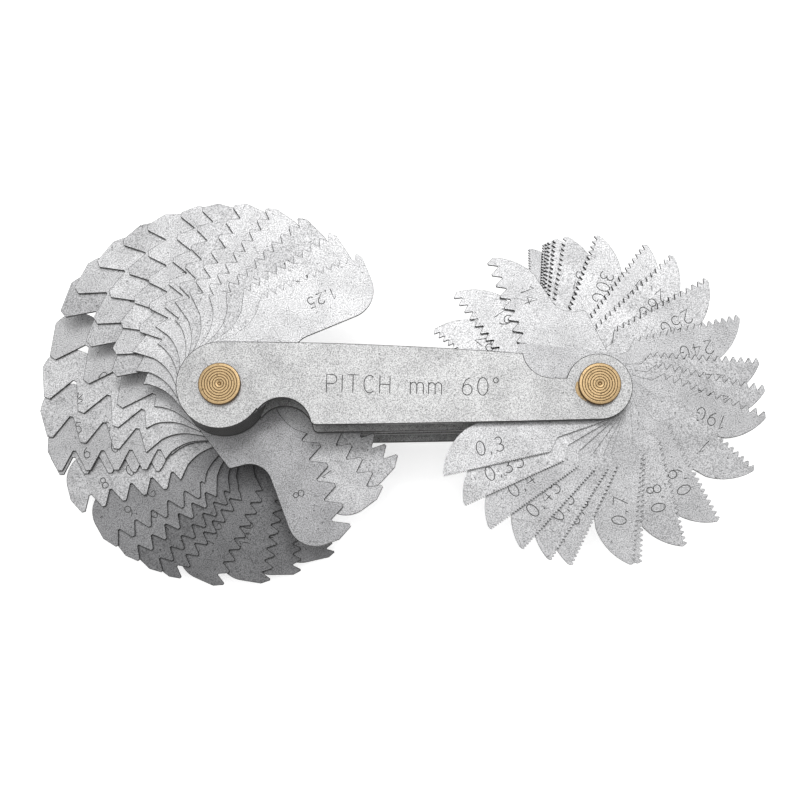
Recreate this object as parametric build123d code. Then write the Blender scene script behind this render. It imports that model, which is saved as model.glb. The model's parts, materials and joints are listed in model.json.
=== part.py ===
"""A folding screw pitch gauge: toothed steel leaves that turn on two brass rivets.

Four plates carry three layers of leaves. From the top down, the layers hold metric,
pipe and Whitworth threads, the coarse pitches on the left rivet and the fine ones on
the right. X runs along the body from the left rivet to the right one, and Z up the
stack. The origin is on the left rivet's axis, on the surface that the lower heads
rest on. The leaves stand fanned out, and each one closes between its two plates.
"""

from build123d import *
from dataclasses import dataclass
from math import acos, atan2, cos, degrees, hypot, radians, sin, tan
import os

# Driving dimensions, in millimetres and degrees
PIVOT_SPACING = 54.5
LEAF_THICKNESS = 0.5
PLATE_THICKNESS = 0.8
RUNNING_GAP = 0.03
SHAFT_RADIUS = 2.0
BORE_RADIUS = 2.05
HEAD_RADIUS = 3.05
HEAD_HEIGHT = 0.9
HEAD_EDGE = 0.15
INCH = 25.4

# Plate outline
LEFT_END_RADIUS = 6.35
RIGHT_END_RADIUS = 4.8
RIGHT_END_DROP = 0.25
TOP_EDGE_MIDDLE = (26.0, 5.72)
TOP_EDGE_END = (48.0, 4.25)
LOW_EDGE_MIDDLE = (30.0, -5.6)
LOW_EDGE_END = (8.9, -5.9)
NOTCH_RADIUS = 4.25
LEFT_NOTCH = (8.9, -6.15)
RIGHT_NOTCH = (47.8, 5.25)
NOTCH_CORNER = 0.8

LOBE_CORNER = 0.45
CUTTING_STOCK = 0.5  # height left above the tooth line until the teeth are cut


@dataclass(frozen=True)
class Blank:
    """A leaf's outline before its teeth are cut, with its tooth line along +X above the bore."""

    hub: float  # radius of the round end on the rivet
    line: float  # height of the tooth crests above the bore
    last_tooth: float  # where the tooth line gives way to the neck
    neck: tuple  # points from the last tooth down to the hub
    end_arc: tuple  # start, middle and foot of the rounded end, X from the blade's end
    notch_arc: tuple  # start, middle and foot of the thumb notch in the back edge
    lobe: tuple  # corner of the thumb lobe


COARSE = Blank(
    hub=6.3, line=10.5, last_tooth=10.7, neck=((8.6, 7.9), (4.2, 6.3)),
    end_arc=((0, 6.15), (-1.23, 3.18), (-4.2, 1.95)),
    notch_arc=((14.2, 1.95), (11.85, 0.95), (10.85, -1.35)), lobe=(10.65, -3.25),
)
FINE = Blank(
    hub=5.05, line=7.8, last_tooth=9.1, neck=((7.55, 5.9),),
    end_arc=((0, 7.1), (-1.8, 3.9), (-4.6, 1.8)),
    notch_arc=((15.9, 0.8), (13.45, -0.5), (12.55, -2.6)), lobe=(12.5, -3.5),
)


@dataclass(frozen=True)
class Family:
    """A thread system: how its pitch is stated, its tooth form, and where its leaves end."""

    per_inch: bool
    angle: float  # between a tooth's flanks
    crest: float  # width of a crest, as a share of the pitch
    root: float  # width of a root, as a share of the pitch
    coarse_tip: float  # how far along the tooth line the outermost crest reaches
    fine_tip: float


METRIC = Family(False, angle=60, crest=0.21, root=0.04, coarse_tip=25.65, fine_tip=24.55)
PIPE = Family(True, angle=55, crest=0.17, root=0.1, coarse_tip=25.0, fine_tip=24.15)
WHITWORTH = Family(True, angle=55, crest=0.17, root=0.1, coarse_tip=25.65, fine_tip=25.0)

# Each fan from its top leaf down: the size, and the direction of the tip from the rivet
METRIC_COARSE = [
    (1.25, 45), (1.5, 56), (1.75, 66.7), (2, 77.3), (2.5, 87.3), (3, 97),
    (3.5, 104), (4, 115.2), (4.5, 124), (5, 134.3), (5.5, 145), (6, 153.4),
]
METRIC_FINE = [
    (0.25, -175.7), (0.3, -149.5), (0.35, -138), (0.4, -127), (0.45, -115), (0.5, -105.5),
    (0.6, -98.5), (0.7, -78.5), (0.75, -76), (0.8, -60), (0.9, -46), (1, -25),
]
PIPE_COARSE = [(8, -46.5), (10, -30.5), (11, -19.5)]
PIPE_FINE = [(14, 127.5), (19, 144), (28, 158)]
WHITWORTH_COARSE = [
    (4, 166.7), (4.5, 179.6), (5, 192), (6, 203.2), (7, 204.4), (8, 218), (9, 233),
    (10, 241), (11, 249), (12, 255), (13, 268.5), (14, 283), (16, 293), (18, 305),
]
WHITWORTH_FINE = [
    (19, -4.8), (20, 4.3), (22, 13.7), (24, 30), (25, 46.5), (26, 60.5), (28, 70),
    (30, 86.6), (32, 97.2), (36, 100.6), (40, 102.3), (48, 103.1), (60, 104), (62, 109),
]


def tangent_foot(point, radius, side):
    """The point of a circle about the bore where a line from a point touches it."""
    angle = atan2(point[1], point[0]) + side * acos(radius / hypot(*point))
    return (radius * cos(angle), radius * sin(angle))


def blank_face(blank, end):
    """A leaf's face before its teeth are cut, its bore about the origin and its blade out to end."""
    neck_x, neck_y = blank.neck[0]
    slope = (blank.line - neck_y) / (blank.last_tooth - neck_x)
    top = blank.line + CUTTING_STOCK
    top_left = (blank.last_tooth + CUTTING_STOCK / slope, top)
    end_start, end_middle, end_foot = [(end + x, y) for x, y in blank.end_arc]
    notch_start, notch_middle, notch_foot = blank.notch_arc
    low_foot = tangent_foot(blank.lobe, blank.hub, -1)
    edges = [Polyline(end_start, (end, top), top_left, blank.neck[0])]
    if len(blank.neck) > 1:
        edges.append(TangentArc(blank.neck[1], blank.neck[0], tangent=(1, 0)))
        high_foot = (0, blank.hub)
    else:
        high_foot = tangent_foot(blank.neck[0], blank.hub, 1)
    edges += [
        Line(blank.neck[-1], high_foot),
        ThreePointArc(high_foot, (-blank.hub, 0), low_foot),
        Line(low_foot, blank.lobe),
        Line(blank.lobe, notch_foot),
        ThreePointArc(notch_foot, notch_middle, notch_start),
        Line(notch_start, end_foot),
        ThreePointArc(end_foot, end_middle, end_start),
    ]
    face = make_face(edges)
    corner = face.vertices().sort_by_distance(blank.lobe)[0]
    return fillet(corner, LOBE_CORNER) - Circle(BORE_RADIUS)


def tooth_cutter(blank, family, pitch, tip):
    """The face above the teeth, which is cut away from a blank. The outermost crest ends at tip."""
    crest_width = family.crest * pitch
    root_width = family.root * pitch
    flank = flank_width(family, pitch)
    depth = flank / tan(radians(family.angle / 2))
    root = blank.line - depth
    over = blank.line + 2 * CUTTING_STOCK
    outside = tip + 2 * flank
    points = [(outside, over), (outside, blank.line - 2 * depth)]
    crest = tip
    while crest > blank.last_tooth:
        root_start = crest - crest_width - flank
        points += [(crest, blank.line), (crest - crest_width, blank.line)]
        points += [(root_start, root), (root_start - root_width, root)]
        crest -= pitch
    points += [(crest, blank.line), (crest, over)]
    return make_face(Polyline(*points, close=True))


def flank_width(family, pitch):
    """How much of the tooth line one flank takes."""
    return pitch * (1 - family.crest - family.root) / 2


def make_leaf(blank, family, size, tip, tip_direction, pivot_x, bottom):
    """One leaf in its place in the fan."""
    pitch = INCH / size if family.per_inch else size
    end = tip + flank_width(family, pitch)
    face = blank_face(blank, end) - tooth_cutter(blank, family, pitch, tip)
    body = extrude(face, LEAF_THICKNESS)
    tip_in_blank = degrees(atan2(blank.line, tip))
    return Pos(pivot_x, 0, bottom) * Rot(Z=tip_direction - tip_in_blank) * body


def plate_outline():
    """The outline that all four plates share, with its two finger notches."""
    right_end = (PIVOT_SPACING, -RIGHT_END_DROP - RIGHT_END_RADIUS)
    body = make_face([
        ThreePointArc((0, LEFT_END_RADIUS), TOP_EDGE_MIDDLE, TOP_EDGE_END),
        Line(TOP_EDGE_END, (PIVOT_SPACING, 0)),
        Line((PIVOT_SPACING, 0), right_end),
        ThreePointArc(right_end, LOW_EDGE_MIDDLE, LOW_EDGE_END),
        Line(LOW_EDGE_END, (0, 0)),
        Line((0, 0), (0, LEFT_END_RADIUS)),
    ])
    body += Circle(LEFT_END_RADIUS)
    floor = RIGHT_NOTCH[1] - NOTCH_RADIUS
    ledge = Pos(RIGHT_NOTCH[0], floor) * Rectangle(
        PIVOT_SPACING - RIGHT_NOTCH[0], LEFT_END_RADIUS, align=(Align.MIN, Align.MIN)
    )
    body -= Pos(*LEFT_NOTCH) * Circle(NOTCH_RADIUS)
    body -= Pos(*RIGHT_NOTCH) * Circle(NOTCH_RADIUS)
    body -= ledge
    body += Pos(PIVOT_SPACING, -RIGHT_END_DROP) * Circle(RIGHT_END_RADIUS)
    corner_x = LEFT_NOTCH[0] + NOTCH_RADIUS
    corner = body.vertices().sort_by_distance((corner_x, LEFT_NOTCH[1]))[0]
    return fillet(corner, NOTCH_CORNER)


def make_plate(bottom):
    """One plate, drilled for both rivets."""
    bores = Circle(BORE_RADIUS) + Pos(PIVOT_SPACING, 0) * Circle(BORE_RADIUS)
    return Pos(Z=bottom) * extrude(plate_outline() - bores, PLATE_THICKNESS)


def make_rivet(pivot_x, height):
    """A rivet with a flat round head at each end."""
    head = Cylinder(HEAD_RADIUS, HEAD_HEIGHT, align=(Align.CENTER, Align.CENTER, Align.MIN))
    low_head = fillet(head.edges().sort_by(Axis.Z)[0], HEAD_EDGE)
    high_head = fillet(head.edges().sort_by(Axis.Z)[-1], HEAD_EDGE)
    shaft = Cylinder(SHAFT_RADIUS, height, align=(Align.CENTER, Align.CENTER, Align.MIN))
    return Pos(pivot_x, 0, 0) * (shaft + low_head + Pos(Z=height - HEAD_HEIGHT) * high_head)


def node_name(word, size):
    """A leaf's name, with its size in words that a file name can hold."""
    return f"leaf_{word}_{str(size).replace('.', '_')}"


def layer_height(left_fan, right_fan):
    """The room that a layer needs between two plates, with a gap at each face."""
    leaves = max(len(left_fan), len(right_fan))
    return leaves * (LEAF_THICKNESS + RUNNING_GAP) + RUNNING_GAP


def make_gauge():
    """Every node of the gauge, by name."""
    layers = [
        ("whitworth", WHITWORTH, WHITWORTH_COARSE, WHITWORTH_FINE),
        ("pipe", PIPE, PIPE_COARSE, PIPE_FINE),
        ("metric", METRIC, METRIC_COARSE, METRIC_FINE),
    ]
    nodes = {}
    plates = [make_plate(HEAD_HEIGHT)]
    z = HEAD_HEIGHT + PLATE_THICKNESS
    for word, family, left_fan, right_fan in layers:
        top = z + layer_height(left_fan, right_fan)
        fans = (
            (COARSE, family.coarse_tip, left_fan, 0),
            (FINE, family.fine_tip, right_fan, PIVOT_SPACING),
        )
        for blank, tip, fan, pivot_x in fans:
            for place, (size, direction) in enumerate(reversed(fan)):
                bottom = z + RUNNING_GAP + place * (LEAF_THICKNESS + RUNNING_GAP)
                leaf = make_leaf(blank, family, size, tip, direction, pivot_x, bottom)
                nodes[node_name(word, size)] = leaf
        plates.append(make_plate(top))
        z = top + PLATE_THICKNESS
    height = z + HEAD_HEIGHT
    nodes["plates"] = Compound(children=plates)
    nodes["rivets"] = Compound(
        children=[make_rivet(0, height), make_rivet(PIVOT_SPACING, height)]
    )
    return nodes


os.makedirs("parts", exist_ok=True)
for name, shape in make_gauge().items():
    export_step(shape, f"parts/{name}.step")
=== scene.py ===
"""Finishes the folding screw pitch gauge: engraved steel leaves, four plates and two turned rivets."""

import json
import math

import bmesh
import bpy
from mathutils import Matrix, Vector


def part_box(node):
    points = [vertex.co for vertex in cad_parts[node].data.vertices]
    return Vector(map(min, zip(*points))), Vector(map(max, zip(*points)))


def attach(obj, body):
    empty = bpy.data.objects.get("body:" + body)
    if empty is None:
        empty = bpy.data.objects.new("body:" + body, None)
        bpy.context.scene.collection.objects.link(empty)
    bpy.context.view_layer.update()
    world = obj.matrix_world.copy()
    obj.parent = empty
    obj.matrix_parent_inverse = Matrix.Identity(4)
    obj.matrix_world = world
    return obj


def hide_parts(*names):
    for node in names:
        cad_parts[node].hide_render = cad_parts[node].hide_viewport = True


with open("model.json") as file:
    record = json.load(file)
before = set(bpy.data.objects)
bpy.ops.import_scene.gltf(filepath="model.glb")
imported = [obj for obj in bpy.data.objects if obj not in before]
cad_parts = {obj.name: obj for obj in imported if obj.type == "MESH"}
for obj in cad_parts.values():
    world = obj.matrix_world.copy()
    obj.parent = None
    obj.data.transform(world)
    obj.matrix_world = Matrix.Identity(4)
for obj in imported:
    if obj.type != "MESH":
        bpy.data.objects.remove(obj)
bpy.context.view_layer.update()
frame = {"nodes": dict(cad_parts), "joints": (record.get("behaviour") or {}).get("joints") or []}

bl_info = {
    "name": "Screw Pitch Gauge",
    "version": (1, 0, 0),
    "blender": (4, 5, 0),
    "location": "View3D > Sidebar > Pitch Gauge",
    "description": "Finishes the leaves, plates and rivets of a folding screw pitch gauge",
    "category": "Object",
}

MM = 0.001
WELD = 1e-7  # vertices closer than this are one
FLAT_ANGLE = math.radians(0.1)
EDGE_ANGLE = math.radians(30)
LEVEL = 0.99  # a face whose normal stands this upright is a level one
# Painted shade: a turned face sloped more than this gets the dark brown groove colour
SHADED_SLOPE_LEVEL = 0.95  # a turned face that slopes more than this is a groove or a rim
BURR_START = 172  # degrees round the right head, where its squeezed lip begins
BURR_SWEEP = 62

# Marks in a finish: size against the grain, detail, and the dark and clear ends of their shade
MARKS = {
    "cloud": (0.03, 2, 0.35, 0.84, 0.6),
    "pits": (0.45, 1, 0.26, 0.45, 0.34),
    "scratches": (0.8, 1, 0.24, 0.75, 0.33),
}
SCRATCH_TURNS = (0.5, 1.4, 2.7)
SCRATCH_STRETCH = (1, 24, 24)

# Joints at rest: the tooth line's direction on each side when its leaves are closed
CLOSED_LEFT = -19.6
CLOSED_RIGHT = 166.7

# Where a leaf's number stands, in millimetres: along the tooth line, above the bore, and how
# much higher for each millimetre of pitch
NUMBER_PLACES = {
    "metric_left": (18.3, 7.1, -0.6),
    "pipe_left": (17.8, 5.0, 0),
    "whitworth_left": (19.2, 4.5, 0.69),
    "metric_right": (17.3, 5.0, 0),
    "pipe_right": (17.3, 3.6, 0),
    "whitworth_right": (17.7, 3.8, 0),
}
COARSE_LEAN = math.radians(11)  # turn of the numbers on the coarsest Whitworth leaves
INCH = 25.4
HEADING = "PITCH mm 60°"
HEADING_START = (15.3, -1.1)
HEADING_TURN = math.radians(-1.2)

# Painted light and shade: each leaf gets a lit-to-shaded copy of one steel, standing in for how the light and
# its reflection fall on it. Each fan's light levels from its top leaf down, each one of most lit, middle,
# plain, less lit, shaded and dark steel
PAINTED_LIGHT_LEVELS = {"b": "bright", "m": "middle", "p": "plain", "d": "dull", "g": "grey", "k": "dark"}
FAN_PAINTED_LIGHT = {
    "metric_left": "bbmbbmbbmbmp",
    "pipe_left": "dpp",
    "whitworth_left": "mbmpppggkkkkkg",
    "metric_right": "pmmppppppppp",
    "pipe_right": "mbb",
    "whitworth_right": "ppppmbbbmmmmmp",
}


# Stroke letters -------------------------------------------------------------------------


def bow(centre, radii, start, stop):
    """Points along part of an ellipse, from start to stop in degrees."""
    steps = max(3, round(abs(stop - start) / 24))
    angles = [math.radians(start + (stop - start) * i / steps) for i in range(steps + 1)]
    return [(centre[0] + radii[0] * math.cos(a), centre[1] + radii[1] * math.sin(a)) for a in angles]


# Each sign's width and strokes, for a height of one
SIGNS = {
    " ": (0.55, []),
    "0": (0.58, [bow((0.29, 0.5), (0.29, 0.5), 90, 450)]),
    "1": (0.3, [[(0.0, 0.78), (0.2, 1.0), (0.2, 0.0)]]),
    "2": (0.58, [bow((0.29, 0.71), (0.28, 0.29), 165, -38) + [(0.0, 0.0), (0.58, 0.0)]]),
    "3": (0.56, [bow((0.27, 0.75), (0.24, 0.25), 150, -90), bow((0.27, 0.25), (0.28, 0.25), 90, -150)]),
    "4": (0.6, [[(0.44, 0.0), (0.44, 1.0), (0.0, 0.3), (0.6, 0.3)]]),
    "5": (0.56, [[(0.52, 1.0), (0.1, 1.0), (0.05, 0.58)] + bow((0.25, 0.33), (0.3, 0.33), 125, -145)]),
    "6": (0.56, [bow((0.28, 0.3), (0.27, 0.3), 180, 540), bow((0.56, 0.3), (0.55, 0.7), 180, 105)]),
    "7": (0.56, [[(0.0, 1.0), (0.56, 1.0), (0.2, 0.0)]]),
    "8": (0.56, [bow((0.28, 0.76), (0.22, 0.24), 270, 630), bow((0.28, 0.26), (0.28, 0.26), 90, 450)]),
    "9": (0.56, [bow((0.28, 0.7), (0.27, 0.3), 0, 360), bow((0.0, 0.7), (0.55, 0.7), 0, -75)]),
    ".": (0.12, [[(0.1, 0.12), (0.03, -0.1)]]),
    "½": (0.62, [
        [(0.0, 0.86), (0.12, 1.0), (0.12, 0.5)],
        [(0.02, 0.1), (0.5, 0.9)],
        bow((0.46, 0.34), (0.14, 0.12), 165, -30) + [(0.3, 0.0), (0.62, 0.0)],
    ]),
    "G": (0.62, [bow((0.32, 0.5), (0.31, 0.5), 50, 335) + [(0.61, 0.46), (0.36, 0.46)]]),
    "P": (0.56, [
        [(0.0, 0.0), (0.0, 1.0), (0.28, 1.0)] + bow((0.28, 0.74), (0.28, 0.26), 70, -90) + [(0.0, 0.48)],
    ]),
    "I": (0.02, [[(0.01, 0.0), (0.01, 1.0)]]),
    "T": (0.6, [[(0.0, 1.0), (0.6, 1.0)], [(0.3, 1.0), (0.3, 0.0)]]),
    "C": (0.6, [bow((0.33, 0.5), (0.32, 0.5), 50, 310)]),
    "H": (0.56, [[(0.0, 0.0), (0.0, 1.0)], [(0.56, 0.0), (0.56, 1.0)], [(0.0, 0.5), (0.56, 0.5)]]),
    "m": (0.72, [
        [(0.0, 0.68), (0.0, 0.0)],
        bow((0.18, 0.46), (0.18, 0.2), 180, 0) + [(0.36, 0.0)],
        bow((0.54, 0.46), (0.18, 0.2), 180, 0) + [(0.72, 0.0)],
    ]),
    "°": (0.28, [bow((0.14, 0.86), (0.13, 0.14), 90, 450)]),
}


def text_width(text, gap):
    """The width of a line of signs, for a height of one."""
    return sum(SIGNS[sign][0] for sign in text) + gap * (len(text) - 1)


def text_strokes(text, height, gap, placing):
    """The strokes of a line of signs that starts at the origin, moved by a matrix."""
    strokes, x = [], 0.0
    for sign in text:
        width, lines = SIGNS[sign]
        for line in lines:
            strokes.append([placing @ Vector(((x + px) * height, py * height, 0)) for px, py in line])
        x += width + gap
    return strokes


# Finishes -------------------------------------------------------------------------------


def new_finish(name, metallic, roughness):
    """An empty material and its shader."""
    finish = bpy.data.materials.new(name)
    finish.use_nodes = True
    shader = finish.node_tree.nodes["Principled BSDF"]
    shader.inputs["Metallic"].default_value = metallic
    shader.inputs["Roughness"].default_value = roughness
    return finish, shader


def add_grain(finish, shader, colour, spread, grain_size, relief):
    """Speckled, faintly scratched colour and fine relief, from noise on the piece's own coordinates."""
    nodes, link = finish.node_tree.nodes, finish.node_tree.links.new
    place = nodes.new("ShaderNodeTexCoord")

    def noise(scale, detail, vector):
        made = nodes.new("ShaderNodeTexNoise")
        made.inputs["Scale"].default_value = scale
        made.inputs["Detail"].default_value = detail
        made.inputs["Roughness"].default_value = 0.65
        link(vector, made.inputs["Vector"])
        return made.outputs["Fac"]

    def ramp(value, *stops):
        made = nodes.new("ShaderNodeValToRGB")
        for stop, (position, shade) in zip(made.color_ramp.elements, stops):
            stop.position = position
            stop.color = (*shade, 1)
        link(value, made.inputs["Fac"])
        return made.outputs["Color"]

    def times(one, other):
        made = nodes.new("ShaderNodeMix")
        made.data_type = "RGBA"
        made.blend_type = "MULTIPLY"
        made.inputs["Factor"].default_value = 1
        link(one, made.inputs[6])
        link(other, made.inputs[7])
        return made.outputs[2]

    def marks(kind, vector):
        scale, detail, low, darkest, high = MARKS[kind]
        return ramp(noise(scale / grain_size, detail, vector), (low, (darkest,) * 3), (high, (1,) * 3))

    own = place.outputs["Object"]
    speckle = noise(1 / grain_size, 3, own)
    dark = [c * (1 - spread) for c in colour[:3]]
    light = [min(1, c * (1 + spread)) for c in colour[:3]]
    shade = ramp(speckle, (0.38, dark), (0.6, light))
    shade = times(shade, marks("cloud", own))
    shade = times(shade, marks("pits", own))
    for turn in SCRATCH_TURNS:
        stretch = nodes.new("ShaderNodeMapping")
        stretch.vector_type = "TEXTURE"
        stretch.inputs["Rotation"].default_value = (0, 0, turn)
        stretch.inputs["Scale"].default_value = SCRATCH_STRETCH
        link(own, stretch.inputs["Vector"])
        shade = times(shade, marks("scratches", stretch.outputs["Vector"]))
    link(shade, shader.inputs["Base Color"])
    bump = nodes.new("ShaderNodeBump")
    bump.inputs["Strength"].default_value = relief
    bump.inputs["Distance"].default_value = grain_size * 0.2
    link(speckle, bump.inputs["Height"])
    link(bump.outputs["Normal"], shader.inputs["Normal"])


def steel(name, colour, settings):
    """Satin ground steel, finely speckled."""
    found = bpy.data.materials.get(name)
    if found:
        return found
    finish, shader = new_finish(name, 1.0, settings.steel_roughness)
    add_grain(finish, shader, colour, settings.steel_speckle, settings.grain_size, 0.25)
    return finish


def brass(name, colour, settings):
    """Turned brass."""
    found = bpy.data.materials.get(name)
    if found:
        return found
    finish, shader = new_finish(name, 1.0, settings.brass_roughness)
    add_grain(finish, shader, colour, 0.2, settings.grain_size, 0.1)
    return finish


def plain_steel(name, colour, settings):
    """Dark steel without a grain: the painted shade on sloped edges and sides, and the darker engraved
    strokes.
    """
    found = bpy.data.materials.get(name)
    if found:
        return found
    finish, shader = new_finish(name, 1.0, settings.steel_roughness)
    shader.inputs["Base Color"].default_value = colour
    return finish


# Meshes ---------------------------------------------------------------------------------


def merged_copy(node):
    """A CAD node's mesh as closed solids, with each flat face in one piece."""
    bm = bmesh.new()
    bm.from_mesh(frame["nodes"][node].data)
    bmesh.ops.remove_doubles(bm, verts=bm.verts, dist=WELD)
    bmesh.ops.dissolve_limit(bm, angle_limit=FLAT_ANGLE, verts=bm.verts, edges=bm.edges)
    return bm


def is_rim(edge):
    """True where a flat top or bottom meets a side."""
    if len(edge.link_faces) != 2:
        return False
    levels = sorted(abs(face.normal.z) for face in edge.link_faces)
    return levels[0] < 0.5 and levels[1] > LEVEL


def break_edges(bm, width):
    """Bevels the rims of flat solids."""
    rims = [edge for edge in bm.edges if is_rim(edge)]
    bmesh.ops.bevel(
        bm, geom=rims, offset=width, offset_type="OFFSET", segments=1, profile=0.5,
        affect="EDGES", clamp_overlap=True,
    )


def to_object(bm, name):
    """A new object that holds a bmesh."""
    mesh = bpy.data.meshes.new(name)
    bm.to_mesh(mesh)
    bm.free()
    piece = bpy.data.objects.new(name, mesh)
    bpy.context.scene.collection.objects.link(piece)
    return piece


def smooth(mesh):
    """Smooth shading on curved sides, kept sharp at real edges; level faces stay flat."""
    if "custom_normal" in mesh.attributes:
        mesh.attributes.remove(mesh.attributes["custom_normal"])
    mesh.polygons.foreach_set("use_smooth", [abs(face.normal.z) < LEVEL for face in mesh.polygons])
    mesh.set_sharp_from_angle(angle=EDGE_ANGLE)


def strokes_object(strokes):
    """Strokes as chains of edges; a stroke that ends where it starts is closed."""
    verts, edges = [], []
    for stroke in strokes:
        closed = (stroke[0] - stroke[-1]).length < WELD
        points = stroke[:-1] if closed else stroke
        first = len(verts)
        verts += points
        edges += [(first + i, first + i + 1) for i in range(len(points) - 1)]
        if closed:
            edges.append((first + len(points) - 1, first))
    mesh = bpy.data.meshes.new("strokes")
    mesh.from_pydata(verts, edges, [])
    lines = bpy.data.objects.new("strokes", mesh)
    bpy.context.scene.collection.objects.link(lines)
    return lines


# The Edge Finish input carries the painted shade for sloped edges and sides
ENGRAVER_INPUTS = (
    ("Strokes", "NodeSocketObject"),
    ("Cutter Radius", "NodeSocketFloat"),
    ("Face Finish", "NodeSocketMaterial"),
    ("Edge Finish", "NodeSocketMaterial"),
    ("Stroke Finish", "NodeSocketMaterial"),
)


def engraver_tree():
    """Cuts round-bottomed strokes into a piece, gives its strokes their own finish, and paints a dark shade
    on its sloped edges and sides.
    """
    found = bpy.data.node_groups.get("Engrave Strokes")
    if found:
        return found
    tree = bpy.data.node_groups.new("Engrave Strokes", "GeometryNodeTree")
    tree.interface.new_socket("Geometry", in_out="INPUT", socket_type="NodeSocketGeometry")
    for name, kind in ENGRAVER_INPUTS:
        tree.interface.new_socket(name, in_out="INPUT", socket_type=kind)
    tree.interface.new_socket("Geometry", in_out="OUTPUT", socket_type="NodeSocketGeometry")
    nodes, link = tree.nodes, tree.links.new
    given = nodes.new("NodeGroupInput")
    made = nodes.new("NodeGroupOutput")
    info = nodes.new("GeometryNodeObjectInfo")
    curve = nodes.new("GeometryNodeMeshToCurve")
    ring = nodes.new("GeometryNodeCurvePrimitiveCircle")
    ring.inputs["Resolution"].default_value = 8
    tube = nodes.new("GeometryNodeCurveToMesh")
    tube.inputs["Fill Caps"].default_value = True
    cut = nodes.new("GeometryNodeMeshBoolean")
    cut.operation = "DIFFERENCE"
    cut.solver = "EXACT"
    cut.inputs["Self Intersection"].default_value = True
    strokes = nodes.new("GeometryNodeSetMaterial")
    stroked = nodes.new("GeometryNodeMaterialSelection")
    uncut = nodes.new("FunctionNodeBooleanMath")
    uncut.operation = "NOT"
    # Painted shade: sloped faces that are not strokes, the side walls and broken edges, get the dark edge
    # colour
    edge_shade_mask = nodes.new("FunctionNodeBooleanMath")
    edge_shade_mask.operation = "AND"
    real = nodes.new("GeometryNodeRealizeInstances")
    faces = nodes.new("GeometryNodeSetMaterial")
    edges = nodes.new("GeometryNodeSetMaterial")
    normal = nodes.new("GeometryNodeInputNormal")
    split = nodes.new("ShaderNodeSeparateXYZ")
    size = nodes.new("ShaderNodeMath")
    size.operation = "ABSOLUTE"
    sloped = nodes.new("ShaderNodeMath")
    sloped.operation = "LESS_THAN"
    sloped.inputs[1].default_value = LEVEL
    link(given.outputs["Strokes"], info.inputs["Object"])
    link(info.outputs["Geometry"], curve.inputs["Mesh"])
    link(given.outputs["Cutter Radius"], ring.inputs["Radius"])
    link(curve.outputs["Curve"], tube.inputs["Curve"])
    link(ring.outputs["Curve"], tube.inputs["Profile Curve"])
    link(given.outputs["Geometry"], cut.inputs["Mesh 1"])
    link(tube.outputs["Mesh"], strokes.inputs["Geometry"])
    link(given.outputs["Stroke Finish"], strokes.inputs["Material"])
    link(strokes.outputs["Geometry"], cut.inputs["Mesh 2"])
    link(cut.outputs["Mesh"], real.inputs["Geometry"])
    link(real.outputs["Geometry"], faces.inputs["Geometry"])
    link(given.outputs["Stroke Finish"], stroked.inputs["Material"])
    link(stroked.outputs["Selection"], uncut.inputs[0])
    link(given.outputs["Face Finish"], faces.inputs["Material"])
    link(uncut.outputs[0], faces.inputs["Selection"])
    link(faces.outputs["Geometry"], edges.inputs["Geometry"])
    link(given.outputs["Edge Finish"], edges.inputs["Material"])
    link(normal.outputs["Normal"], split.inputs["Vector"])
    link(split.outputs["Z"], size.inputs[0])
    link(size.outputs[0], sloped.inputs[0])
    link(sloped.outputs[0], edge_shade_mask.inputs[0])
    link(uncut.outputs[0], edge_shade_mask.inputs[1])
    link(edge_shade_mask.outputs[0], edges.inputs["Selection"])
    link(edges.outputs["Geometry"], made.inputs["Geometry"])
    return tree


def engrave(piece, strokes, radius, face_finish, settings):
    """Runs the engraver on a piece and keeps its result as a plain mesh."""
    tree = engraver_tree()
    lines = strokes_object(strokes)
    values = {
        "Strokes": lines,
        "Cutter Radius": radius,
        "Face Finish": face_finish,
        # Painted shade: a dark steel for the sloped edges and sides
        "Edge Finish": plain_steel("edge_steel", settings.edge_shade_colour, settings),
        "Stroke Finish": plain_steel("stroke_steel", settings.stroke_colour, settings),
    }
    work = piece.modifiers.new("Engrave", "NODES")
    work.node_group = tree
    for item in tree.interface.items_tree:
        if item.item_type == "SOCKET" and item.in_out == "INPUT" and item.name in values:
            work[item.identifier] = values[item.name]
    made = bpy.data.meshes.new_from_object(piece.evaluated_get(bpy.context.evaluated_depsgraph_get()))
    piece.modifiers.remove(work)
    bpy.data.objects.remove(lines)
    old, piece.data = piece.data, made
    made.name = piece.name
    bpy.data.meshes.remove(old)
    smooth(piece.data)


def lathe(profile, centre, segments):
    """A solid turned about an upright axis. The profile runs from the top pole to the bottom one."""
    bm = bmesh.new()
    rings = []
    for radius, height in profile:
        if radius == 0:
            rings.append([bm.verts.new((centre[0], centre[1], height))])
            continue
        turns = [2 * math.pi * i / segments for i in range(segments)]
        rings.append([
            bm.verts.new((centre[0] + radius * math.cos(a), centre[1] + radius * math.sin(a), height))
            for a in turns
        ])
    for upper, lower in zip(rings, rings[1:]):
        for i in range(segments):
            j = (i + 1) % segments
            if len(upper) == 1:
                bm.faces.new((upper[0], lower[i], lower[j]))
            elif len(lower) == 1:
                bm.faces.new((upper[i], lower[0], upper[j]))
            else:
                bm.faces.new((upper[i], lower[i], lower[j], upper[j]))
    return bm


# Settings -------------------------------------------------------------------------------


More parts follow.
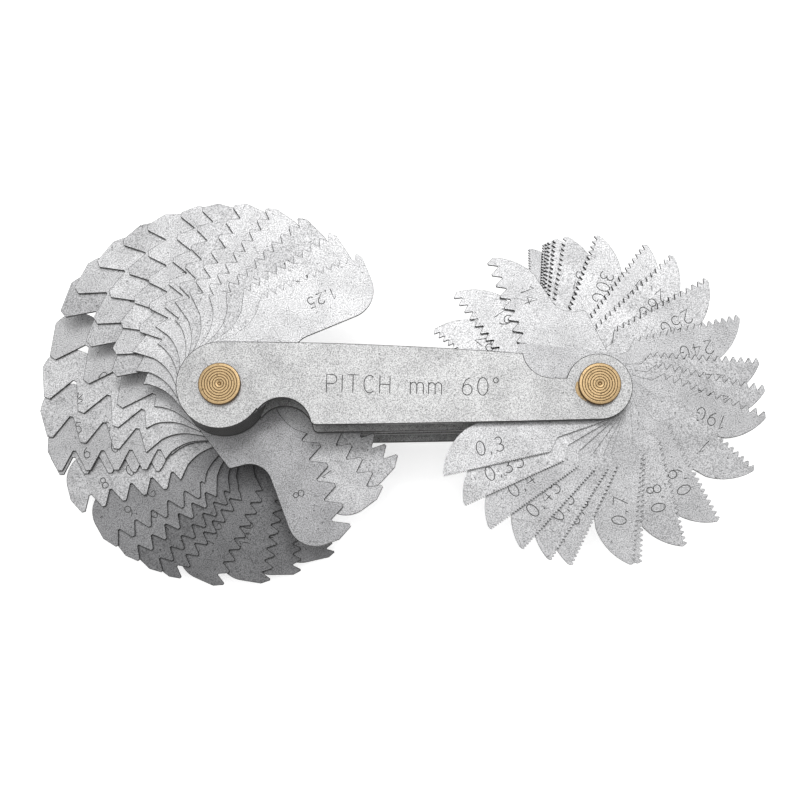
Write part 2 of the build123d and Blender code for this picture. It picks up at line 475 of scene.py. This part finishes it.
class GaugeEngraving(bpy.types.PropertyGroup):
    """Sizes of the numbers, the heading and the broken edges."""

    stroke_width: bpy.props.FloatProperty(
        name="Stroke Width", description="Width of an engraved stroke", default=0.15 * MM, unit="LENGTH")
    stroke_depth: bpy.props.FloatProperty(
        name="Stroke Depth", description="Depth of an engraved stroke", default=0.06 * MM, unit="LENGTH")
    coarse_height: bpy.props.FloatProperty(
        name="Coarse Number Height", description="Height of the numbers on the left rivet's leaves",
        default=1.65 * MM, unit="LENGTH")
    fine_height: bpy.props.FloatProperty(
        name="Fine Number Height", description="Height of the numbers on the right rivet's leaves",
        default=2.1 * MM, unit="LENGTH")
    heading_height: bpy.props.FloatProperty(
        name="Heading Height", description="Height of the heading's capitals",
        default=2.6 * MM, unit="LENGTH")
    leaf_edge: bpy.props.FloatProperty(
        name="Leaf Edge", description="Width of the broken edge on a leaf", default=0.06 * MM, unit="LENGTH")
    plate_edge: bpy.props.FloatProperty(
        name="Plate Edge", description="Width of the broken edge on a plate", default=0.1 * MM, unit="LENGTH")


class GaugeFinish(bpy.types.PropertyGroup):
    """Colours and grain of the steel and brass, with the painted light and shade of the leaves, edges and
    brass grooves.
    """

    # Painted light and shade: the six leaf colours are one steel, from most lit down to dark
    bright_colour: bpy.props.FloatVectorProperty(
        name="Most Lit Steel", description="Colour of the brightest leaves",
        default=(0.45, 0.45, 0.455, 1), size=4, subtype="COLOR")
    middle_colour: bpy.props.FloatVectorProperty(
        name="Middle Steel", description="Colour of leaves between bright and plain",
        default=(0.405, 0.405, 0.41, 1), size=4, subtype="COLOR")
    plain_colour: bpy.props.FloatVectorProperty(
        name="Plain Steel", description="Colour of most leaves",
        default=(0.36, 0.36, 0.365, 1), size=4, subtype="COLOR")
    dull_colour: bpy.props.FloatVectorProperty(
        name="Less Lit Steel", description="Colour of the less lit leaves",
        default=(0.27, 0.27, 0.275, 1), size=4, subtype="COLOR")
    grey_colour: bpy.props.FloatVectorProperty(
        name="Shaded Steel", description="Colour of the leaves in deeper painted shade",
        default=(0.2, 0.2, 0.204, 1), size=4, subtype="COLOR")
    dark_colour: bpy.props.FloatVectorProperty(
        name="Dark Steel", description="Colour of the darkest leaves",
        default=(0.13, 0.13, 0.133, 1), size=4, subtype="COLOR")
    plate_colour: bpy.props.FloatVectorProperty(
        name="Plate Steel", description="Colour of the plates",
        default=(0.37, 0.37, 0.37, 1), size=4, subtype="COLOR")
    stroke_colour: bpy.props.FloatVectorProperty(
        name="Strokes", description="Colour of the engraved strokes",
        default=(0.13, 0.13, 0.13, 1), size=4, subtype="COLOR")
    # Painted shade on the sloped sides and broken edges of leaves and plates
    edge_shade_colour: bpy.props.FloatVectorProperty(
        name="Painted Edge Shade", description="Colour of broken edges and engraved strokes",
        default=(0.05, 0.049, 0.048, 1), size=4, subtype="COLOR")
    # Painted shade on the rivets' sloped faces: groove walls, rims and sides
    groove_shade_colour: bpy.props.FloatVectorProperty(
        name="Brass Groove Shade", description="Colour of the rivets' grooves and rims",
        default=(0.15, 0.085, 0.035, 1), size=4, subtype="COLOR")
    brass_colour: bpy.props.FloatVectorProperty(
        name="Brass", description="Colour of the rivets",
        default=(0.4, 0.285, 0.155, 1), size=4, subtype="COLOR")
    steel_roughness: bpy.props.FloatProperty(
        name="Steel Roughness", description="How far the steel scatters light",
        default=0.42, subtype="FACTOR")
    brass_roughness: bpy.props.FloatProperty(
        name="Brass Roughness", description="How far the brass scatters light",
        default=0.36, subtype="FACTOR")
    steel_speckle: bpy.props.FloatProperty(
        name="Steel Speckle", description="How strongly the steel is speckled", default=0.4, subtype="FACTOR")
    grain_size: bpy.props.FloatProperty(
        name="Grain Size", description="Size of the steel's speckles", default=0.16 * MM, unit="LENGTH")


class GaugeRivets(bpy.types.PropertyGroup):
    """Turned details of the rivet heads."""

    ring_spacing: bpy.props.FloatProperty(
        name="Ring Spacing", description="Distance between turned rings", default=0.38 * MM, unit="LENGTH")
    ring_depth: bpy.props.FloatProperty(
        name="Ring Depth", description="Depth of the turned rings", default=0.04 * MM, unit="LENGTH")
    head_edge: bpy.props.FloatProperty(
        name="Head Edge", description="Rounding of a head's rim", default=0.15 * MM, unit="LENGTH")
    shaft_radius: bpy.props.FloatProperty(
        name="Shaft Radius", description="Radius of a rivet's shaft", default=2.0 * MM, unit="LENGTH")
    segments: bpy.props.IntProperty(
        name="Segments", description="Facets round a rivet", default=96, min=24)


class GaugeStage(bpy.types.PropertyGroup):
    """Floor, lights and camera."""

    floor_colour: bpy.props.FloatVectorProperty(
        name="Floor", description="Colour of the floor",
        default=(0.98, 0.98, 0.98, 1), size=4, subtype="COLOR")
    floor_glow: bpy.props.FloatProperty(
        name="Floor Glow", description="Light that the floor gives off", default=0.5)
    sky: bpy.props.FloatProperty(
        name="Surroundings", description="Brightness of the surroundings", default=0.6)
    overhead: bpy.props.FloatProperty(
        name="Overhead Light", description="Power of the large light overhead", default=2.8, unit="POWER")
    key: bpy.props.FloatProperty(
        name="Key Light", description="Power of the light behind the gauge", default=0.5, unit="POWER")
    camera_distance: bpy.props.FloatProperty(
        name="Camera Distance", description="Distance from the top cover to the camera",
        default=0.228, unit="LENGTH")
    camera_tilt: bpy.props.FloatProperty(
        name="Camera Tilt", description="Angle of the camera from straight down",
        default=math.radians(10), subtype="ANGLE")
    lens: bpy.props.FloatProperty(
        name="Lens", description="Focal length in millimetres", default=71.55)


SETTINGS = (
    ("gauge_engraving", GaugeEngraving),
    ("gauge_finish", GaugeFinish),
    ("gauge_rivets", GaugeRivets),
    ("gauge_stage", GaugeStage),
)


# Leaves ---------------------------------------------------------------------------------


def right_pivot():
    """How far the right rivet stands from the left one."""
    return max(joint["pos_m"][0] for joint in frame["joints"])


def leaf_side(joint):
    """The rivet that a leaf turns on."""
    return "right" if joint["pos_m"][0] > right_pivot() / 2 else "left"


def leaf_family(node):
    """The thread system in a leaf's name."""
    return node.split("_")[1]


def leaf_pitch(node):
    """A leaf's pitch in millimetres, from its name."""
    family, *digits = node.split("_")[1:]
    size = float(".".join(digits))
    return size if family == "metric" else INCH / size


def leaf_text(node):
    """The number on a leaf; a leaf cut in threads per inch carries a G after it."""
    family, *digits = node.split("_")[1:]
    text = ".".join(digits)
    if family != "whitworth":
        return text
    text = text.replace(".5", "½")
    return text + ("  G" if len(digits[0]) == 1 else "G")


def blade_matrix(joint):
    """Takes points on a leaf's blank, tooth line along X, to the leaf's place at rest."""
    closed = CLOSED_RIGHT if leaf_side(joint) == "right" else CLOSED_LEFT
    turn = math.radians(closed - joint["range_deg"][0])
    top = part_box(joint["child"])[1].z
    x, y, _ = joint["pos_m"]
    return Matrix.Translation((x, y, top)) @ Matrix.Rotation(turn, 4, "Z")


def number_strokes(joint, sizes):
    """A leaf's number, read from the blade's tip towards the rivet."""
    side, family = leaf_side(joint), leaf_family(joint["child"])
    height = sizes.fine_height if side == "right" else sizes.coarse_height
    along, above, rise = NUMBER_PLACES[f"{family}_{side}"]
    text = leaf_text(joint["child"])
    lean = COARSE_LEAN if " " in text else 0
    lift = sizes.stroke_width / 2 - sizes.stroke_depth
    half = text_width(text, 0.3) * height / 2
    placing = (
        blade_matrix(joint)
        @ Matrix.Translation((along * MM, (above + rise * leaf_pitch(joint["child"])) * MM, lift))
        @ Matrix.Rotation(math.pi + lean, 4, "Z")
        @ Matrix.Translation((-half, -height / 2, 0))
    )
    return text_strokes(text, height, 0.3, placing)


def leaves_by_fan():
    """The leaves' joints in each fan, from its top leaf down."""
    fans = {}
    for joint in sorted(frame["joints"], key=lambda j: -j["pos_m"][2]):
        fan = f"{leaf_family(joint['child'])}_{leaf_side(joint)}"
        fans.setdefault(fan, []).append(joint)
    return fans


class GAUGE_OT_leaves(bpy.types.Operator):
    """Finishes every leaf: broken edges, its number and its painted light level of steel"""

    bl_idname = "gauge.finish_leaves"
    bl_label = "Finish Leaves"

    def execute(self, context):
        sizes, finish = context.scene.gauge_engraving, context.scene.gauge_finish
        for fan, joints in leaves_by_fan().items():
            for joint, letter in zip(joints, FAN_PAINTED_LIGHT[fan], strict=True):
                node = joint["child"]
                tone = PAINTED_LIGHT_LEVELS[letter]
                bm = merged_copy(node)
                break_edges(bm, sizes.leaf_edge)
                piece = to_object(bm, f"steel_{node}")
                # Painted light and shade: the leaf's steel is a lit-to-shaded copy of one steel, standing in
                # for the light that falls on it
                face = steel(f"{tone}_steel", getattr(finish, f"{tone}_colour"), finish)
                engrave(piece, number_strokes(joint, sizes), sizes.stroke_width / 2, face, finish)
                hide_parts(node)
                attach(piece, node)
        return {"FINISHED"}


# Plates ---------------------------------------------------------------------------------


def loose_solids(bm):
    """The vertices of each separate solid, from the top one down."""
    left, groups = set(bm.verts), []
    while left:
        group, edge = set(), [left.pop()]
        while edge:
            vert = edge.pop()
            group.add(vert)
            for other in (e.other_vert(vert) for e in vert.link_edges):
                if other in left:
                    left.discard(other)
                    edge.append(other)
        groups.append(group)
    return sorted(groups, key=lambda g: -max(v.co.z for v in g))


def heading_strokes(top, sizes):
    """The heading on the top cover."""
    lift = sizes.stroke_width / 2 - sizes.stroke_depth
    placing = Matrix.Translation((HEADING_START[0] * MM, HEADING_START[1] * MM, top + lift))
    placing = placing @ Matrix.Rotation(HEADING_TURN, 4, "Z")
    return text_strokes(HEADING, sizes.heading_height, 0.29, placing)


PLATE_NAMES = ("top_cover", "upper_middle_plate", "lower_middle_plate", "bottom_cover")


class GAUGE_OT_plates(bpy.types.Operator):
    """Finishes the four plates, and engraves the heading on the top one"""

    bl_idname = "gauge.finish_plates"
    bl_label = "Finish Plates"

    def execute(self, context):
        sizes, finish = context.scene.gauge_engraving, context.scene.gauge_finish
        face = steel("ground_plate", finish.plate_colour, finish)
        for place, name in enumerate(PLATE_NAMES):
            bm = merged_copy("plates")
            solids = loose_solids(bm)
            others = [v for i, group in enumerate(solids) if i != place for v in group]
            bmesh.ops.delete(bm, geom=others, context="VERTS")
            top = max(v.co.z for v in bm.verts)
            break_edges(bm, sizes.plate_edge)
            piece = to_object(bm, name)
            strokes = heading_strokes(top, sizes) if place == 0 else []
            engrave(piece, strokes, sizes.stroke_width / 2, face, finish)
            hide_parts("plates")
            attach(piece, "body")
        return {"FINISHED"}


# Rivets ---------------------------------------------------------------------------------


def head_profile(radius, face, under, sizes):
    """Half of a turned head, from the middle of its face to the shaft."""
    outward = 1 if face > under else -1
    depth = sizes.ring_depth * outward
    points = [(0, face - 2.4 * depth), (0.12 * MM, face - 2 * depth), (0.3 * MM, face)]
    reach = 0.3 * MM
    flat_edge = radius - sizes.head_edge
    while reach + sizes.ring_spacing < flat_edge:
        points.append((reach + sizes.ring_spacing * 0.7, face))
        points.append((reach + sizes.ring_spacing * 0.85, face - depth))
        reach += sizes.ring_spacing
        points.append((reach, face))
    for step in range(5):
        turn = math.radians(22.5 * step)
        points.append((
            flat_edge + sizes.head_edge * math.sin(turn),
            face - sizes.head_edge * outward * (1 - math.cos(turn)),
        ))
    points += [(radius, under), (sizes.shaft_radius, under)]
    return points


def burr(centre, radius, height):
    """A thin crescent of squeezed metal beside a head."""
    bm = bmesh.new()
    steps = 14
    rows = []
    for i in range(steps + 1):
        share = i / steps
        angle = math.radians(BURR_START + BURR_SWEEP * share)
        reach = radius + 0.55 * MM * math.sin(math.pi * min(1, 0.12 + share * 0.88)) * (1 - 0.35 * share)
        row = []
        inside = radius - 0.3 * MM
        for distance, level in ((inside, 0.0), (reach, 0.0), (reach, 0.06 * MM), (inside, 0.16 * MM)):
            row.append(bm.verts.new((
                centre[0] + distance * math.cos(angle),
                centre[1] + distance * math.sin(angle),
                height + level,
            )))
        rows.append(row)
    for near, far in zip(rows, rows[1:]):
        for i in range(4):
            j = (i + 1) % 4
            bm.faces.new((near[i], near[j], far[j], far[i]))
    bm.faces.new(rows[0])
    bm.faces.new(rows[-1][::-1])
    bmesh.ops.recalc_face_normals(bm, faces=bm.faces)
    return bm


class GAUGE_OT_rivets(bpy.types.Operator):
    """Turns the two brass rivets, with rings and a dimple on each head"""

    bl_idname = "gauge.turn_rivets"
    bl_label = "Turn Rivets"

    def execute(self, context):
        sizes, finish = context.scene.gauge_rivets, context.scene.gauge_finish
        low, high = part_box("rivets")
        stack_low, stack_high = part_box("plates")
        radius = -low.x
        upper = head_profile(radius, high.z, stack_high.z, sizes)
        lower = head_profile(radius, low.z, stack_low.z, sizes)
        for name, x in (("left_rivet", 0.0), ("right_rivet", right_pivot())):
            bm = lathe(upper + lower[::-1], (x, 0), sizes.segments)
            if x:
                extra = bpy.data.meshes.new("burr")
                crescent = burr((x, 0), radius, stack_high.z)
                crescent.to_mesh(extra)
                crescent.free()
                bm.from_mesh(extra)
                bpy.data.meshes.remove(extra)
            bmesh.ops.recalc_face_normals(bm, faces=bm.faces)
            piece = to_object(bm, name)
            piece.data.materials.append(brass("turned_brass", finish.brass_colour, finish))
            # Painted shade: the rivets' groove walls, rims and sides get a dark brown copy of the brass
            piece.data.materials.append(brass("brown_brass", finish.groove_shade_colour, finish))
            for face in piece.data.polygons:
                face.material_index = int(abs(face.normal.z) < SHADED_SLOPE_LEVEL)
            smooth(piece.data)
            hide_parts("rivets")
            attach(piece, "body")
        return {"FINISHED"}


# Stage ----------------------------------------------------------------------------------


def add_light(name, size, power, place, aim):
    """A square area light that looks at a point."""
    lamp = bpy.data.lights.new(name, "AREA")
    lamp.shape = "SQUARE"
    lamp.size = size
    lamp.energy = power
    light = bpy.data.objects.new(name, lamp)
    bpy.context.scene.collection.objects.link(light)
    light.location = place
    light.rotation_euler = (Vector(aim) - Vector(place)).to_track_quat("-Z", "Y").to_euler()


class GAUGE_OT_stage(bpy.types.Operator):
    """Makes the floor, the lights and the camera"""

    bl_idname = "gauge.set_stage"
    bl_label = "Set Stage"

    def execute(self, context):
        stage = context.scene.gauge_stage
        scene = context.scene
        bpy.ops.mesh.primitive_plane_add(size=6)
        floor = context.object
        floor.name = "floor"
        finish, shader = new_finish("floor_paper", 0.0, 0.9)
        shader.inputs["Base Color"].default_value = stage.floor_colour
        shader.inputs["Emission Color"].default_value = (1, 1, 1, 1)
        shader.inputs["Emission Strength"].default_value = stage.floor_glow
        floor.data.materials.append(finish)
        world = bpy.data.worlds.new("surroundings")
        scene.world = world
        world.use_nodes = True
        background = world.node_tree.nodes["Background"]
        background.inputs["Color"].default_value = (1, 1, 1, 1)
        background.inputs["Strength"].default_value = stage.sky
        low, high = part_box("plates")
        middle = Vector((right_pivot() / 2 - 1.38 * MM, -2.25 * MM, high.z))
        add_light("overhead", 1.1, stage.overhead, middle + Vector((0, 0.1, 0.62)), middle)
        add_light("key", 0.12, stage.key, middle + Vector((0.034, 0.205, 0.58)), middle)
        tilt = stage.camera_tilt
        lens = bpy.data.cameras.new("camera")
        lens.lens = stage.lens
        lens.clip_start = 0.01
        lens.clip_end = 20
        camera = bpy.data.objects.new("camera", lens)
        scene.collection.objects.link(camera)
        camera.location = middle + stage.camera_distance * Vector((0, -math.sin(tilt), math.cos(tilt)))
        camera.rotation_euler = (tilt, 0, 0)
        scene.camera = camera
        scene.view_settings.view_transform = "Standard"
        return {"FINISHED"}


class GAUGE_PT_panel(bpy.types.Panel):
    """Lists the gauge's steps and settings"""

    bl_label = "Pitch Gauge"
    bl_idname = "GAUGE_PT_panel"
    bl_space_type = "VIEW_3D"
    bl_region_type = "UI"
    bl_category = "Pitch Gauge"

    def draw(self, context):
        for operator in OPERATORS:
            self.layout.operator(operator.bl_idname)
        for name, group in SETTINGS:
            box = self.layout.box()
            for field in group.__annotations__:
                box.prop(getattr(context.scene, name), field)


OPERATORS = (GAUGE_OT_leaves, GAUGE_OT_plates, GAUGE_OT_rivets, GAUGE_OT_stage)


def register():
    """Adds the settings, operators and panel."""
    for name, group in SETTINGS:
        bpy.utils.register_class(group)
        setattr(bpy.types.Scene, name, bpy.props.PointerProperty(type=group))
    for kind in (*OPERATORS, GAUGE_PT_panel):
        bpy.utils.register_class(kind)


def unregister():
    """Takes them away again."""
    for kind in reversed((*OPERATORS, GAUGE_PT_panel)):
        bpy.utils.unregister_class(kind)
    for name, group in reversed(SETTINGS):
        delattr(bpy.types.Scene, name)
        bpy.utils.unregister_class(group)


def main():
    """Builds everything in order."""
    register()
    bpy.ops.gauge.finish_leaves()
    bpy.ops.gauge.finish_plates()
    bpy.ops.gauge.turn_rivets()
    bpy.ops.gauge.set_stage()


if __name__ == "__main__":
    main()
